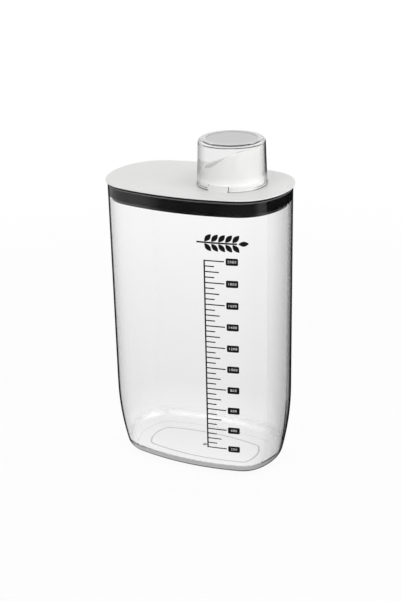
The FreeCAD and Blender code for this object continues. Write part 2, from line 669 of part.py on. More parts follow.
def draw_seal_section(sketch):
    """Upright section of the seal ring: a flange over the rim and a band with three lips and a tongue."""
    inner = worth("Sizes.lid_length / 2 - (" + PLUG_INSET + ")")
    face = inner + size("seal_thick")
    crest = face + size("seal_lip")
    flange = size("lid_length") / 2 - size("lid_overhang") - size("flange_setback")
    flange_top = worth(BRIM_LEVEL)
    depth = size("seal_depth")
    bevel = size("seal_chamfer")
    half_lip = size("seal_lip_width") / 2
    tongue = inner - size("groove_depth") + size("tongue_gap")
    tongue_top = size("groove_top") + size("tongue_gap")
    tongue_low = size("groove_top") + size("groove_height") - size("tongue_gap")
    lips = [size("seal_lip_first") + place * size("seal_lip_pitch") for place in range(LIP_COUNT)]
    loop = Loop(sketch)
    top_line = loop.line((inner, flange_top), (flange, flange_top))
    edge_line = loop.line((flange, flange_top), (flange, 0))
    seat_line = loop.line((flange, 0), (face, 0))
    face_lines = []
    lip_lines = []
    level = 0
    for middle in lips:
        face_lines.append(loop.line((face, level), (face, half_lip - middle)))
        level = -half_lip - middle
        lip_lines.append((loop.line((face, half_lip - middle), (crest, -middle)),
                          loop.line((crest, -middle), (face, level))))
    face_lines.append(loop.line((face, level), (face, bevel - depth)))
    bevel_line = loop.line((face, bevel - depth), (face - bevel, -depth))
    low_line = loop.line((face - bevel, -depth), (inner, -depth))
    under_line = loop.line((inner, -depth), (inner, -tongue_low))
    tongue_low_line = loop.line((inner, -tongue_low), (tongue, -tongue_low))
    tongue_line = loop.line((tongue, -tongue_low), (tongue, -tongue_top))
    tongue_top_line = loop.line((tongue, -tongue_top), (inner, -tongue_top))
    upper_line = loop.line((inner, -tongue_top), (inner, flange_top))
    loop.close()
    loop.level(top_line, seat_line, low_line, tongue_low_line, tongue_top_line)
    loop.upright(edge_line, *face_lines, under_line, tongue_line, upper_line)
    loop.fix("PointOnObject", seat_line, START, X_AXIS)
    plug_face = "Sizes.lid_length / 2 - (" + PLUG_INSET + ")"
    loop.reach("plug_face", plug_face, top_line, START)
    loop.reach("plug_face_low", plug_face, under_line, START)
    loop.height("flange_top", BRIM_LEVEL, top_line, START)
    loop.reach("flange_edge", "Sizes.lid_length / 2 - Sizes.lid_overhang - Sizes.flange_setback",
               edge_line, START)
    loop.bind("bevel_run", "Sizes.seal_chamfer", "DistanceX", bevel_line, END, bevel_line, START)
    loop.bind("bevel_rise", "Sizes.seal_chamfer", "DistanceY", bevel_line, END, bevel_line, START)
    for place, line in enumerate(face_lines):
        loop.reach(f"face_{place}", plug_face + " + Sizes.seal_thick", line, START)
    for place, (upper, lower) in enumerate(lip_lines):
        middle = f"Sizes.seal_lip_first + {place} * Sizes.seal_lip_pitch"
        loop.depth(f"lip_top_{place}", middle + " - Sizes.seal_lip_width / 2", upper, START)
        loop.depth(f"lip_middle_{place}", middle, upper, END)
        loop.depth(f"lip_low_{place}", middle + " + Sizes.seal_lip_width / 2", lower, END)
        loop.bind(f"lip_crest_{place}", "Sizes.seal_lip", "DistanceX", upper, START, upper, END)
    loop.depth("band_depth", "Sizes.seal_depth", low_line, START)
    loop.depth("tongue_top", "Sizes.groove_top + Sizes.tongue_gap", tongue_top_line, START)
    loop.depth("tongue_low", "Sizes.groove_top + Sizes.groove_height - Sizes.tongue_gap",
               tongue_low_line, START)
    loop.bind("tongue_in", "Sizes.groove_depth - Sizes.tongue_gap", "DistanceX",
              tongue_top_line, START, tongue_top_line, END)
    doc.recompute()


def build_gasket():
    """Black seal ring stretched over the plug, its tongue in the plug's groove."""
    body = new_body("lid_gasket")
    body.setExpression(".Placement.Base.z", "Sizes.jar_height")
    spine = new_sketch(body, "seal_outline")
    draw_outline(spine, PLUG_INSET)
    section = new_sketch(body, "seal_section", "XZ_Plane")
    draw_seal_section(section)
    sweep_round(body, "seal_sweep", section, spine)
    return body


def draw_cup_section(sketch):
    """Half section of the measuring cup, mouth down, with a bead at the rim and a sunk top disc."""
    top = size("cup_height")
    lean = math.radians(size("cup_draft"))
    bead = size("cup_bead")
    bead_top = size("cup_bead_height")
    rim = size("cup_rim_chamfer")
    shoulder = size("cup_shoulder")
    wall_x = size("cup_radius")
    bead_x = wall_x + bead
    inner_x = wall_x - size("cup_wall")
    inner_top = top - size("cup_top_thick")
    inner_bend = size("cup_inner_round")
    disc = size("disc_radius")
    disc_level = top - size("disc_depth")
    shoulder_x = wall_x - (top - shoulder) * math.tan(lean)
    corner_x = inner_x - (inner_top - inner_bend) * math.tan(lean)
    loop = Loop(sketch)
    rim_line = loop.line((inner_x + rim, 0), (bead_x - rim, 0))
    rim_out_line = loop.line((bead_x - rim, 0), (bead_x, rim))
    bead_line = loop.line((bead_x, rim), (bead_x, bead_top - bead))
    slope_line = loop.line((bead_x, bead_top - bead), (wall_x, bead_top))
    wall_line = loop.line((wall_x, bead_top), (shoulder_x, top - shoulder))
    shoulder_arc = loop.arc((shoulder_x - shoulder, top - shoulder), (shoulder_x, top - shoulder),
                            (shoulder_x - shoulder, top))
    ring_line = loop.line((shoulder_x - shoulder, top), (disc, top))
    step_line = loop.line((disc, top), (disc, disc_level))
    disc_line = loop.line((disc, disc_level), (0, disc_level))
    axis_line = loop.line((0, disc_level), (0, inner_top))
    roof_line = loop.line((0, inner_top), (corner_x - inner_bend, inner_top))
    corner_arc = loop.arc((corner_x - inner_bend, inner_top - inner_bend), (corner_x - inner_bend, inner_top),
                          (corner_x, inner_top - inner_bend), clockwise=True)
    inner_line = loop.line((corner_x, inner_top - inner_bend), (inner_x, rim))
    rim_in_line = loop.line((inner_x, rim), (inner_x + rim, 0))
    loop.close()
    loop.level(rim_line, ring_line, disc_line, roof_line)
    loop.upright(bead_line, step_line)
    loop.fix("PointOnObject", rim_line, START, X_AXIS)
    loop.fix("PointOnObject", axis_line, START, Y_AXIS)
    loop.fix("PointOnObject", axis_line, END, Y_AXIS)
    loop.fix("Parallel", inner_line, wall_line)
    loop.reach("bead", "Sizes.cup_radius + Sizes.cup_bead", bead_line, START)
    loop.bind("rim_out_run", "Sizes.cup_rim_chamfer", "DistanceX", rim_out_line, START, rim_out_line, END)
    loop.height("rim_out_rise", "Sizes.cup_rim_chamfer", rim_out_line, END)
    loop.bind("rim_in_run", "Sizes.cup_rim_chamfer", "DistanceX", rim_in_line, START, rim_in_line, END)
    loop.height("rim_in_rise", "Sizes.cup_rim_chamfer", rim_in_line, START)
    loop.height("bead_low", "Sizes.cup_bead_height - Sizes.cup_bead", slope_line, START)
    loop.height("bead_top", "Sizes.cup_bead_height", slope_line, END)
    loop.reach("wall", "Sizes.cup_radius", wall_line, START)
    loop.turn("lean", "90 + Sizes.cup_draft", wall_line)
    loop.bind("shoulder_bend", "Sizes.cup_shoulder", "Radius", shoulder_arc)
    loop.height("top", "Sizes.cup_height", ring_line, START)
    loop.reach("disc", "Sizes.disc_radius", step_line, START)
    loop.height("disc_level", "Sizes.cup_height - Sizes.disc_depth", disc_line, START)
    loop.height("roof", "Sizes.cup_height - Sizes.cup_top_thick", roof_line, START)
    loop.bind("corner_bend", "Sizes.cup_inner_round", "Radius", corner_arc)
    loop.reach("inside", "Sizes.cup_radius - Sizes.cup_wall", inner_line, END)
    doc.recompute()


def draw_notch(sketch):
    """Front view of the notch in the cup's rim that drops over the lid's index lug."""
    half = worth("Sizes.lug_width / 2 + Sizes.notch_gap")
    low = -size("overrun")
    high = worth("Sizes.lug_height + Sizes.notch_gap")
    loop = Loop(sketch)
    low_line = loop.line((-half, low), (half, low))
    right_line = loop.line((half, low), (half, high))
    high_line = loop.line((half, high), (-half, high))
    left_line = loop.line((-half, high), (-half, low))
    loop.close()
    loop.level(low_line, high_line)
    loop.upright(right_line, left_line)
    loop.depth("low", "Sizes.overrun", low_line, START)
    loop.height("high", "Sizes.lug_height + Sizes.notch_gap", high_line, START)
    loop.reach("right", "Sizes.lug_width / 2 + Sizes.notch_gap", right_line, START)
    loop.bind("left", "Sizes.lug_width / 2 + Sizes.notch_gap", "DistanceX", left_line, START, *ORIGIN)
    doc.recompute()


def build_cup():
    """Clear measuring cup that covers the spout, mouth down."""
    body = new_body("measuring_cup")
    body.setExpression(".Placement.Base.x", "Sizes.spout_offset")
    body.setExpression(".Placement.Base.z", "Sizes.jar_height + Sizes.plate_thick")
    section = new_sketch(body, "cup_section", "XZ_Plane")
    draw_cup_section(section)
    spin(body, "Revolution", "cup_turn", section)
    notch = new_sketch(body, "notch_outline", "XZ_Plane")
    draw_notch(notch)
    cut_forward(body, "notch_cut", notch, "Sizes.cup_radius + Sizes.overrun")
    return body


def write_steps(bodies):
    """Check every object and every solid, then write one file for each body."""
    doc.recompute()
    for thing in doc.Objects:
        if "Invalid" in thing.State or "Error" in thing.State:
            raise RuntimeError(f"{thing.Name} failed: {thing.State}")
    for body in bodies:
        if body.Shape.isNull() or not body.Shape.isValid() or len(body.Shape.Solids) != 1:
            raise RuntimeError(body.Label + " is not one valid solid")
    os.makedirs("parts", exist_ok=True)
    for body in bodies:
        body.Shape.exportStep(f"parts/{body.Label}.step")
        print(body.Label, round(body.Shape.Volume), len(body.Shape.Faces))


write_steps([build_jar(), build_lid(), build_gasket(), build_cup()])
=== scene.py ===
"""Dressing of the clear storage canister: its finishes, its printed volume scale and a studio.

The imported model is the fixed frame, in metres with +Z up. The long side of the plan lies along X,
the spout stands at the +X end and the printed face looks to -Y.
"""

import logging
import math
from dataclasses import dataclass, field
from enum import Enum
from typing import Any

import bmesh
import bpy
from mathutils import Matrix, Vector


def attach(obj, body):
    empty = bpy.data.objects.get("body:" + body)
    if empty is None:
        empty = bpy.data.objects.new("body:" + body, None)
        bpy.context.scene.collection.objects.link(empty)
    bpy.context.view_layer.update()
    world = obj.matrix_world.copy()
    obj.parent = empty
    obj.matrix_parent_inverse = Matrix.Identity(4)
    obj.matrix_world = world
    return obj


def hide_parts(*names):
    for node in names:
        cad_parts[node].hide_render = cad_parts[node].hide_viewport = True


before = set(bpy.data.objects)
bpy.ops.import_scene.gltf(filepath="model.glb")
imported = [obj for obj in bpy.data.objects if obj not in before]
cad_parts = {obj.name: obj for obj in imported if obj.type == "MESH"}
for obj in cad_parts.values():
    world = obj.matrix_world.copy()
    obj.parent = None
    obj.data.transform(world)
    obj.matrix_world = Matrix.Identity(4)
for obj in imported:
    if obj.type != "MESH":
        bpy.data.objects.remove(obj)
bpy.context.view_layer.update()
MM = 0.001
LOG = logging.getLogger("canister")
WHITE = "FFFFFF"
# Values between which most of a noise texture lies
NOISE_RANGE = (0.3, 0.7)

Tree = bpy.types.NodeTree
Socket = bpy.types.NodeSocket
Pair = tuple[float, float]
Triple = tuple[float, float, float]


class Body(Enum):
    """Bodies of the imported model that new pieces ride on."""

    JAR = "jar"
    LID = "lid"


class Slot(Enum):
    """Material slots of the record, one of which each printed film holds, though nothing reads it.
    """

    BLACK = "black_seal"
    WHITE = "white_lid"


class Tick(Enum):
    """Kinds of tick on the volume scale, by how far each runs from the upright line in mm."""

    LONG = 16.4
    MIDDLE = 12.2
    SHORT = 8.5


def linear(code: str) -> tuple[float, float, float, float]:
    """Turn an sRGB colour into the linear one that a shader takes, by the sRGB standard's curve.

    Args:
        code: six hexadecimal digits.

    Returns:
        Red, green, blue and an alpha of one.
    """
    shares = [int(code[place:place + 2], 16) / 255 for place in (0, 2, 4)]
    return (*(s / 12.92 if s <= 0.04045 else ((s + 0.055) / 1.055) ** 2.4 for s in shares), 1.0)


def per_metre(size_mm: float) -> float:
    """Texture scale at which a pattern repeats about every size_mm."""
    return 1 / (size_mm * MM)


def add_node(tree: Tree, kind: str, inputs: dict[Any, Any] | None = None,
             **settings: Any) -> bpy.types.Node:
    """Add a node with its settings, and set or link its inputs.

    Args:
        tree: tree that gets the node.
        kind: Blender's name for the kind of node.
        inputs: a value, or the output to link, for each input by name or number.
        settings: properties of the node itself.

    Returns:
        The new node.
    """
    node = tree.nodes.new(kind)
    for name, value in settings.items():
        setattr(node, name, value)
    for name, value in (inputs or {}).items():
        if isinstance(value, Socket):
            tree.links.new(value, node.inputs[name])
        else:
            node.inputs[name].default_value = value
    return node


def work_out(tree: Tree, operation: str, *values: float | Socket) -> Socket:
    """Add a node that works out a number.

    Args:
        tree: tree that gets the node.
        operation: Blender's name for what is worked out.
        values: a number, or the output to link, for each input in turn.

    Returns:
        The output that holds the number.
    """
    inputs = dict(enumerate(values))
    return add_node(tree, "ShaderNodeMath", inputs, operation=operation).outputs["Value"]


def map_range(tree: Tree, value: Socket, start: float, end: float, least: float = 0.0,
              most: float = 1.0) -> Socket:
    """Add a node that turns one range of a number into another, and holds it at both ends.

    Args:
        tree: tree that gets the node.
        value: output that holds the number.
        start: number that gives the least.
        end: number that gives the most.
        least: result at the start.
        most: result at the end.

    Returns:
        The output that holds the result.
    """
    return add_node(tree, "ShaderNodeMapRange", {
        "Value": value, "From Min": start, "From Max": end, "To Min": least,
        "To Max": most}).outputs["Result"]


def beyond(tree: Tree, value: Socket, limit_mm: float, blur_mm: float) -> Socket:
    """Add a step at a limit, up to one, or down to zero where the blur is less than zero."""
    return map_range(tree, value, (limit_mm - blur_mm) * MM, (limit_mm + blur_mm) * MM)


def along(tree: Tree, first: Socket, second: Socket | Triple) -> Socket:
    """Add a node that tells how far one way goes along another."""
    return add_node(tree, "ShaderNodeVectorMath", {0: first, 1: second},
                    operation="DOT_PRODUCT").outputs["Value"]


def mix_colours(tree: Tree, share: Socket, first: Any, second: Any) -> Socket:
    """Add a mix of two colours, all the second one where the share is one."""
    return add_node(tree, "ShaderNodeMix", {"Factor": share, 6: first, 7: second},
                    data_type="RGBA").outputs[2]


def mix_shaders(tree: Tree, share: Socket, first: Socket, second: Socket) -> Socket:
    """Add a mix of two shaders, all the second one where the share is one."""
    return add_node(tree, "ShaderNodeMixShader", {0: share, 1: first, 2: second}).outputs["Shader"]


def seen_rays(tree: Tree) -> Socket:
    """Add the nodes that tell rays to the eye, straight, mirrored or bent, from rays that light.

    Args:
        tree: tree that gets the nodes.

    Returns:
        An output of one for rays to the eye and zero for the rest.
    """
    ray = add_node(tree, "ShaderNodeLightPath").outputs
    seen = ray["Is Camera Ray"]
    for kind in ("Is Glossy Ray", "Is Transmission Ray"):
        seen = add_node(tree, "ShaderNodeMath", {0: seen, 1: ray[kind]}, operation="ADD",
                        use_clamp=True).outputs["Value"]
    return seen


@dataclass(frozen=True)
class Finish:
    """Surface finish of one real material and process."""

    name: str

    def material(self) -> bpy.types.Material:
        """Make the finish's material, or find it where it is made already.

        Returns:
            The node material.
        """
        made = bpy.data.materials.get(self.name)
        if made is None:
            made = bpy.data.materials.new(self.name)
            made.use_nodes = True
            made.node_tree.nodes.clear()
            surface = self.surface(made.node_tree)
            add_node(made.node_tree, "ShaderNodeOutputMaterial", {"Surface": surface})
        return made

    def surface(self, tree: Tree) -> Socket:
        """Build the shader.

        Args:
            tree: the material's empty node tree.

        Returns:
            The shader's output.
        """
        raise NotImplementedError


@dataclass(frozen=True)
class Veil:
    """Band of a clear moulding's surface, between two heights, where a tone is painted over it: the
    bands are painted highlights, painted shade and painted shadow lines.

    Sizes are in mm. Each limit fades over twice the blur.
    """

    lowest: float
    highest: float
    tone: str
    # Its share of what the eye sees, met from outside the plastic and from inside it
    share: float
    through: float = 0.0
    # How far it reaches from the moulding's upright axis
    reach: float = 200.0
    blur: float = 0.05
    # How much of it mirrors the room softly, where the rest is matt
    satin: float = 0.0
    # How far its faces look up, from minus one, straight down, to one
    least_up: float = -2.0
    most_up: float = 2.0


@dataclass(frozen=True)
class ClearMoulding(Finish):
    """Clear injection-moulded plastic, polished.

    The eye sees through it with hardly any tint. Faint swirls of the melt's flow wave what stands
    behind. Where a wall turns away from the eye, a dark matt shade is painted in as its dark edge,
    wider on the side where a black board lies in the studio.
    """

    tint: str = "FCFCFC"
    edge: str = "141516"
    ior: float = 1.5
    # Swirls of the flow, and how rough, wavy and shiny they leave the surface
    flow_mm: float = 38.0
    flow_detail: float = 2.0
    flow_twist: float = 0.6
    roughest: float = 0.02
    wave_mm: float = 0.02
    wave_strength: float = 0.25
    dullest: str = "202020"
    gloss: str = "6A6A6A"
    sheen_range: Pair = (0.42, 0.62)
    # Upright streaks of painted reflection, from X to X with a fade at each side
    brightest: str = "E6E6E6"
    streaks_mm: tuple[Triple, ...] = ((-70.0, -18.0, 8.0), (63.5, 68.5, 1.5))
    # Place along X of the moulding's upright axis
    axis_mm: float = 0.0
    # How far a face may look towards the axis and still count as an outer one, in metres
    inward: float = 1e-6
    # Way to the black board, and how far walls look along it from the lit side to the painted dark
    # one
    board_way: Triple = (0.899, 0.438, 0.0)
    board_range: Pair = (-0.6, 0.6)
    # How far up faces look that turn from walls into level ones, and that turn under to the base
    level_range: Pair = (0.35, 0.9)
    under_range: Pair = (-0.3, -0.55)
    # How far a level face, a face met from inside the plastic and a face of the hollow share the
    # painted dark edge
    level_share: float = 0.1
    inner_share: float = 0.4
    hollow_share: float = 0.15
    # How far a broad wall shares it, nearly a flat pane, and how far faces look along X that turn
    # from such a pane into an end
    pane_share: float = 0.2
    pane_range: Pair = (0.25, 0.65)
    # Heights between which the painted dark edge grows to its full share, and what a white piece
    # behind leaves of it below
    grow_mm: Pair = (-2.0, -1.0)
    least_share: float = 0.3
    # A faint painted shade grows down the wall from the highest level to the middle one, and fades
    # out again below it down to the lowest level
    haze_mm: Triple = (14.0, 40.0, 200.0)
    most_haze: float = 0.038
    # How much painted shade a face takes, as shares of full dark, by how far it is turned away:
    # walls on the lit side and on the board's side, then the turn under to the base
    turn_blend: float = 0.5
    lit_shares: tuple[Pair, ...] = (
        (0.02, 0.02), (0.25, 0.03), (0.33, 0.06), (0.4, 0.1), (0.53, 0.15), (0.61, 0.19),
        (0.66, 0.25), (0.7, 0.42), (0.75, 0.9), (0.8, 0.98))
    board_shares: tuple[Pair, ...] = (
        (0.02, 0.02), (0.25, 0.04), (0.33, 0.1), (0.4, 0.17), (0.46, 0.22), (0.53, 0.28),
        (0.62, 0.34), (0.68, 0.42), (0.74, 0.65), (0.79, 0.92), (0.85, 0.97))
    foot_shares: tuple[Pair, ...] = (
        (0.3, 0.02), (0.58, 0.05), (0.64, 0.16), (0.7, 0.5), (0.78, 0.8))
    # Bands of painted highlight, painted shade and painted shadow
    veils: tuple[Veil, ...] = ()
    veil_roughness: float = 0.5

    def surface(self, tree: Tree) -> Socket:
        """Build the shader.

        Args:
            tree: the material's empty node tree.

        Returns:
            The shader's output.
        """
        place = add_node(tree, "ShaderNodeTexCoord").outputs["Object"]
        spot = add_node(tree, "ShaderNodeSeparateXYZ", {"Vector": place}).outputs
        # From the moulding's axis straight out
        outward = add_node(tree, "ShaderNodeVectorMath", {
            0: place, 1: (1.0, 1.0, 0.0), 2: (-self.axis_mm * MM, 0.0, 0.0)},
            operation="MULTIPLY_ADD").outputs["Vector"]
        wall = self.polished(tree, place, spot["X"])
        wall = self.veiled(tree, wall, outward, spot["Z"])
        # A dark matt shade is painted in where faces turn away from the eye: the plastic's dark
        # edge
        painted_shade = add_node(tree, "ShaderNodeBsdfDiffuse", {"Color": linear(self.edge)})
        share = self.darkness(tree, outward, spot["Z"])
        wall = mix_shaders(tree, share, wall, painted_shade.outputs["BSDF"])
        # Lamps shine through, so that what stands inside and behind is lit
        open_way = add_node(tree, "ShaderNodeBsdfTransparent", {"Color": linear(self.tint)})
        ray = add_node(tree, "ShaderNodeLightPath")
        return mix_shaders(tree, ray.outputs["Is Shadow Ray"], wall, open_way.outputs["BSDF"])

    def polished(self, tree: Tree, place: Socket, sideways: Socket) -> Socket:
        """Add the plain plastic, with the swirls of its flow and its streaks of painted reflection.

        Args:
            tree: the material's node tree.
            place: output that holds the place on the moulding.
            sideways: output that holds the place along X alone.

        Returns:
            The plastic's shader.
        """
        flow = add_node(tree, "ShaderNodeTexNoise", {
            "Vector": place, "Scale": per_metre(self.flow_mm), "Detail": self.flow_detail,
            "Distortion": self.flow_twist}).outputs["Fac"]
        wave = add_node(tree, "ShaderNodeBump", {
            "Height": flow, "Strength": self.wave_strength, "Distance": self.wave_mm * MM})
        sheen = map_range(tree, flow, *self.sheen_range)
        gloss = mix_colours(tree, sheen, linear(self.dullest), linear(self.gloss))
        # Streaks of painted reflection: the gloss tint rises to a bright tint between two places
        # along X
        for left, right, fade in self.streaks_mm:
            within = work_out(tree, "MULTIPLY", beyond(tree, sideways, left, fade),
                              beyond(tree, sideways, right, -fade))
            gloss = mix_colours(tree, within, gloss, linear(self.brightest))
        return add_node(tree, "ShaderNodeBsdfPrincipled", {
            "Base Color": linear(self.tint), "IOR": self.ior, "Transmission Weight": 1.0,
            "Roughness": map_range(tree, flow, *NOISE_RANGE, most=self.roughest),
            "Specular Tint": gloss, "Normal": wave.outputs["Normal"]}).outputs["BSDF"]

    def veiled(self, tree: Tree, wall: Socket, outward: Socket, height: Socket) -> Socket:
        """Lay the painted bands over the plastic, one after the other.

        Args:
            tree: the material's node tree.
            wall: the plastic's shader.
            outward: output that holds the way from the moulding's axis.
            height: output that holds the height above the base.

        Returns:
            The veiled plastic's shader.
        """
        reach = add_node(tree, "ShaderNodeVectorMath", {0: outward}, operation="LENGTH")
        face = add_node(tree, "ShaderNodeNewGeometry").outputs
        upward = add_node(tree, "ShaderNodeSeparateXYZ", {"Vector": face["Normal"]}).outputs["Z"]
        # Each band mixes its painted tone over the plastic
        for painted_band in self.veils:
            share = map_range(tree, face["Backfacing"], 0.0, 1.0, painted_band.share, painted_band.through)
            for within in (work_out(tree, "GREATER_THAN", upward, painted_band.least_up),
                           work_out(tree, "LESS_THAN", upward, painted_band.most_up),
                           beyond(tree, height, painted_band.lowest, painted_band.blur),
                           beyond(tree, height, painted_band.highest, -painted_band.blur),
                           beyond(tree, reach.outputs["Value"], painted_band.reach, -painted_band.blur)):
                share = work_out(tree, "MULTIPLY", share, within)
            painted_tone = add_node(tree, "ShaderNodeBsdfPrincipled", {
                "Base Color": linear(painted_band.tone), "Metallic": painted_band.satin,
                "Roughness": self.veil_roughness, "Specular IOR Level": 0.0})
            wall = mix_shaders(tree, share, wall, painted_tone.outputs["BSDF"])
        return wall

    def darkness(self, tree: Tree, outward: Socket, height: Socket) -> Socket:
        """Add the nodes that paint shade on faces turned away from the eye, and the wall's faint
        painted grey.

        Args:
            tree: the material's node tree.
            outward: output that holds the way from the moulding's axis.
            height: output that holds the height above the base.

        Returns:
            An output from zero, clear, to one, dark.
        """
        face = add_node(tree, "ShaderNodeNewGeometry").outputs
        looks = add_node(tree, "ShaderNodeSeparateXYZ", {"Vector": face["Normal"]}).outputs
        facing = add_node(tree, "ShaderNodeLayerWeight", {"Blend": self.turn_blend})
        upright = map_range(tree, looks["Z"], *self.level_range, 1.0, self.level_share)
        turned = work_out(tree, "MULTIPLY", facing.outputs["Facing"], upright)
        tone = self.ramp(tree, turned, self.lit_shares)
        boarded = map_range(tree, along(tree, face["Normal"], self.board_way), *self.board_range)
        under = map_range(tree, looks["Z"], *self.under_range)
        for share, value, shares in ((boarded, turned, self.board_shares),
                                     (under, facing.outputs["Facing"], self.foot_shares)):
            tone = add_node(tree, "ShaderNodeMix", {
                0: share, 2: tone, 3: self.ramp(tree, value, shares)}).outputs[0]
        outer = work_out(tree, "GREATER_THAN", along(tree, face["Normal"], outward), -self.inward)
        endways = work_out(tree, "ABSOLUTE", looks["X"])
        grown = [level * MM for level in self.grow_mm]
        for share in (map_range(tree, outer, 0.0, 1.0, self.hollow_share),
                      map_range(tree, face["Backfacing"], 0.0, 1.0, 1.0, self.inner_share),
                      map_range(tree, endways, *self.pane_range, self.pane_share),
                      map_range(tree, height, *grown, self.least_share)):
            tone = work_out(tree, "MULTIPLY", tone, share)
        # The wall's faint painted grey, which grows downwards
        lowest, middle, highest = (level * MM for level in self.haze_mm)
        painted_tone = work_out(tree, "MULTIPLY", upright, map_range(tree, height, lowest, middle))
        growth = map_range(tree, height, highest, middle, most=self.most_haze)
        return work_out(tree, "ADD", tone, work_out(tree, "MULTIPLY", painted_tone, growth))

    @staticmethod
    def ramp(tree: Tree, value: Socket, shares: tuple[Pair, ...]) -> Socket:
        """Add a ramp from clear to dark.

        Args:
            tree: the material's node tree.
            value: output that holds how far a face is turned away.
            shares: each stop and how dark it is.

        Returns:
            The ramp's output.
        """
        ramp = add_node(tree, "ShaderNodeValToRGB", {"Fac": value})
        stops = ramp.color_ramp.elements
        for stop, share in shares:
            stops.new(stop).color = (share, share, share, 1.0)
        # The ramp's own last stop, at full turn, goes on from the one before
        stops[len(shares) + 1].color = stops[len(shares)].color
        return ramp.outputs["Color"]


@dataclass(frozen=True)
class GrainedSurface(Finish):
    """Opaque surface with a fine grain and slow changes of tone: plastic, rubber, ink or board."""

    pale: str = "FFFFFF"
    deep: str = "000000"
    smoothest: float = 0.3
    roughest: float = 0.5
    tone_mm: float = 20.0
    tone_detail: float = 3.0
    grain_mm: float = 0.6
    grain_detail: float = 1.0
    grain_height_mm: float = 0.02
    grain_strength: float = 0.3
    ior: float = 1.5
    shine: float = 0.5

    def surface(self, tree: Tree) -> Socket:
        """Build the shader.

        Args:
            tree: the material's empty node tree.

        Returns:
            The shader's output.
        """
        place = add_node(tree, "ShaderNodeTexCoord").outputs["Object"]
        tone = self.noise(tree, place, self.tone_mm, self.tone_detail)
        grain = self.noise(tree, place, self.grain_mm, self.grain_detail)
        relief = add_node(tree, "ShaderNodeBump", {
            "Height": grain, "Strength": self.grain_strength,
            "Distance": self.grain_height_mm * MM})
        return add_node(tree, "ShaderNodeBsdfPrincipled", {
            "Base Color": mix_colours(tree, tone, linear(self.deep), linear(self.pale)),
            "Roughness": map_range(tree, grain, *NOISE_RANGE, self.smoothest, self.roughest),
            "IOR": self.ior, "Specular IOR Level": self.shine,
            "Normal": relief.outputs["Normal"]}).outputs["BSDF"]

    @staticmethod
    def noise(tree: Tree, place: Socket, size_mm: float, detail: float) -> Socket:
        """Add a noise of about a size."""
        return add_node(tree, "ShaderNodeTexNoise", {
            "Vector": place, "Scale": per_metre(size_mm), "Detail": detail}).outputs["Fac"]


@dataclass(frozen=True)
class StudioPaper(Finish):
    """Matt white paper under the object, white right out, that keeps the object's shadow."""

    white: str = "F2F2F2"
    near_share: float = 0.92
    near_mm: float = 260.0
    far_mm: float = 900.0

    def surface(self, tree: Tree) -> Socket:
        """Build the shader.

        Args:
            tree: the material's empty node tree.

        Returns:
            The shader's output.
        """
        place = add_node(tree, "ShaderNodeTexCoord").outputs["Object"]
        away = add_node(tree, "ShaderNodeVectorMath", {0: place}, operation="LENGTH")
        share = add_node(tree, "ShaderNodeMapRange", {
            "Value": away.outputs["Value"], "From Min": self.near_mm * MM,
            "From Max": self.far_mm * MM, "To Min": self.near_share, "To Max": 1.0},
            interpolation_type="SMOOTHSTEP")
        lit_share = work_out(tree, "MULTIPLY", share.outputs["Result"], seen_rays(tree))
        paper = add_node(tree, "ShaderNodeBsdfDiffuse", {"Color": linear(self.white)})
        glow = add_node(tree, "ShaderNodeEmission", {"Color": linear(WHITE), "Strength": 1.0})
        return mix_shaders(tree, lit_share, paper.outputs["BSDF"], glow.outputs["Emission"])


# SAN, injection moulded and polished: clear as glass, faintly grey through two walls. In turn, a
# thin pale line of painted highlight runs along its rim, the turn under to the base is painted as
# a grey satin band that ends in a painted shadow line, the inner round over the floor carries a
# painted highlight, and on the floor the edge of the hollow under it is painted as a thin line of
# shade and the gate's nub as a dark spot of painted shade
CLEAR_JAR = ClearMoulding("san_moulded_clear_jar", veils=(
    Veil(233.9, 234.75, "8C8C8C", 0.5),
    Veil(-1.0, 9.4, "C2C2C2", 0.85, blur=0.6, satin=1.0, most_up=0.2),
    Veil(-1.0, 4.4, "303030", 0.75, blur=0.5, most_up=0.0),
    Veil(7.0, 14.5, "FFFFFF", 0.32, blur=2.5, satin=1.0, least_up=0.1),
    Veil(0.175, 0.225, "303030", 0.0, through=0.55, blur=0.02),
    Veil(-1.0, 1.0, "202020", 0.0, through=0.7, reach=1.9, blur=0.3)))
# The same plastic in a thinner moulding. Its top is painted pale as a highlight, greyer in the
# middle, its sunk disc is painted light grey for the shade seen through it, its lower edge keeps
# less of the painted dark edge where the white lid stands behind, and thin lines of painted shade
# mark the sharp turns at its shoulder and mouth
CLEAR_CUP = ClearMoulding(
    "san_moulded_clear_cup", flow_mm=16.0, axis_mm=28.2, level_share=0.3, inner_share=0.1,
    pane_share=1.0, most_haze=0.0, streaks_mm=(), grow_mm=(244.5, 248.5), least_share=0.35,
    lit_shares=((0.02, 0.08), (0.35, 0.1), (0.41, 0.14), (0.49, 0.19), (0.58, 0.28), (0.65, 0.34),
                (0.72, 0.54), (0.83, 0.45), (0.95, 0.35)),
    board_shares=((0.02, 0.08), (0.4, 0.1), (0.46, 0.14), (0.52, 0.2), (0.58, 0.36), (0.64, 0.46),
                  (0.69, 0.82), (0.75, 0.96), (0.82, 0.98)),
    veils=(Veil(273.3, 273.8, "F0F0F0", 0.8, reach=24.3), Veil(272.75, 273.3, "8A8A8A", 0.45),
           Veil(273.3, 273.8, "B0B0B0", 0.6, reach=20.0),
           Veil(272.9, 273.3, "E4E4E4", 0.85, reach=19.6), Veil(237.0, 237.8, "6A6A6A", 0.6)))
# Polypropylene, spark-eroded mould: soft white with a satin sheen and hardly any grain. The grain
# of the mould, about 0.1 mm, is drawn at 0.5 mm so that it shows
WHITE_LID = GrainedSurface("polypropylene_moulded_white", pale="EFEFEE", deep="E9E9E8",
                           smoothest=0.34, roughest=0.46, tone_mm=24.0, grain_mm=0.5,
                           grain_height_mm=0.012, grain_strength=0.25)
